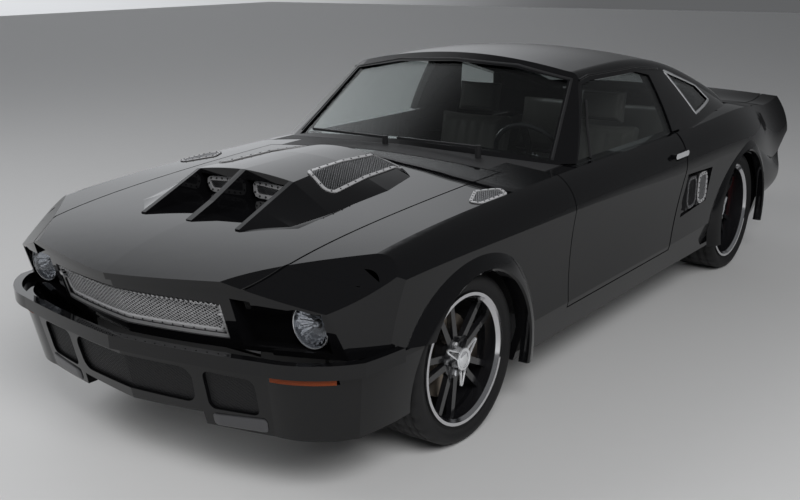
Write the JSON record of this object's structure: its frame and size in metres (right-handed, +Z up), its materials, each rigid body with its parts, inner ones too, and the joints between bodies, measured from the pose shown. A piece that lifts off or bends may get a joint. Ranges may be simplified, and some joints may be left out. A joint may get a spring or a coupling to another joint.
{
  "type": "muscle car",
  "caption": "Black fastback muscle car with hood scoop, flared arches, hinged hood, doors and trunk lid, steered front wheels and free rolling wheels.",
  "frame": {"origin": "on the ground under the middle of the car's bounding box", "axes": "+X towards the front, +Y to the car's left, +Z up"},
  "size_m": [4.66, 1.824, 1.2951],
  "materials": {
    "paint": "gloss black",
    "underbody": "satin black",
    "glass": "clear",
    "lamp_lens": "clear",
    "tail_lens": "gloss red",
    "screen": "satin",
    "trim": "satin black",
    "leather": "dark grain",
    "steel": "satin",
    "iron": "painted casting",
    "chassis_iron": "satin black",
    "tyre": "rubber",
    "wheel_alloy": "gloss black with polished lip"
  },
  "bodies": {
    "body": {"floor_pan": "underbody", "engine_bay": "underbody", "roof": "paint", "fender_left": "paint", "fender_right": "paint", "quarter_left": "paint", "quarter_right": "paint", "sills": "paint", "nose_panel": "paint", "front_fascia": "paint", "front_bumper": "paint", "grilles": "screen", "front_lamps": "lamp_lens", "fixed_glass": "glass", "wipers": "trim", "side_vents": "screen", "tail_panel": "paint", "tail_lamps": "tail_lens", "rear_bumper": "paint", "exhaust": "steel", "engine": "iron", "fuel_tank": "steel", "front_suspension": "chassis_iron", "rear_axle": "chassis_iron", "front_seats": "leather", "rear_seat": "leather", "dashboard": "trim", "steering_wheel": "trim"},
    "hood": {"hood": "paint", "hood_scoop": "paint"},
    "door_left": {"door_left": "paint", "door_left_glass": "glass"},
    "door_right": {"door_right": "paint", "door_right_glass": "glass"},
    "trunk": {"trunk_lid": "paint"},
    "knuckle_left": {"knuckle_left": "chassis_iron"},
    "knuckle_right": {"knuckle_right": "chassis_iron"},
    "wheel_front_left": {"tyre_front_left": "tyre", "wheel_front_left": "wheel_alloy"},
    "wheel_front_right": {"tyre_front_right": "tyre", "wheel_front_right": "wheel_alloy"},
    "wheel_rear_left": {"tyre_rear_left": "tyre", "wheel_rear_left": "wheel_alloy"},
    "wheel_rear_right": {"tyre_rear_right": "tyre", "wheel_rear_right": "wheel_alloy"}
  },
  "joints": [
    {"name": "steer_left", "type": "hinge", "parent": "body", "child": "knuckle_left", "pos_m": [1.43, 0.68, 0.322], "axis": [0, 0, 1], "range_deg": [-30, 30]},
    {"name": "steer_right", "type": "hinge", "parent": "body", "child": "knuckle_right", "pos_m": [1.43, -0.68, 0.322], "axis": [0, 0, 1], "range_deg": [-30, 30]},
    {"name": "spin_front_left", "type": "hinge", "parent": "knuckle_left", "child": "wheel_front_left", "pos_m": [1.43, 0.732, 0.322], "axis": [0, 1, 0], "continuous": true},
    {"name": "spin_front_right", "type": "hinge", "parent": "knuckle_right", "child": "wheel_front_right", "pos_m": [1.43, -0.732, 0.322], "axis": [0, 1, 0], "continuous": true},
    {"name": "spin_rear_left", "type": "hinge", "parent": "body", "child": "wheel_rear_left", "pos_m": [-1.313, 0.717, 0.332], "axis": [0, 1, 0], "continuous": true},
    {"name": "spin_rear_right", "type": "hinge", "parent": "body", "child": "wheel_rear_right", "pos_m": [-1.313, -0.717, 0.332], "axis": [0, 1, 0], "continuous": true},
    {"name": "hood_hinge", "type": "hinge", "parent": "body", "child": "hood", "pos_m": [0.862, 0, 0.922], "axis": [0, -1, 0], "range_deg": [0, 50]},
    {"name": "door_left_hinge", "type": "hinge", "parent": "body", "child": "door_left", "pos_m": [0.715, 0.899, 0.6], "axis": [0, 0, -1], "range_deg": [0, 65]},
    {"name": "door_right_hinge", "type": "hinge", "parent": "body", "child": "door_right", "pos_m": [0.715, -0.899, 0.6], "axis": [0, 0, 1], "range_deg": [0, 65]},
    {"name": "trunk_hinge", "type": "hinge", "parent": "body", "child": "trunk", "pos_m": [-1.706, 0, 0.918], "axis": [0, 1, 0], "range_deg": [0, 60]}
  ],
  "couplings": [
    {"joint": "steer_right", "follows": "steer_left", "ratio": 1}
  ]
}
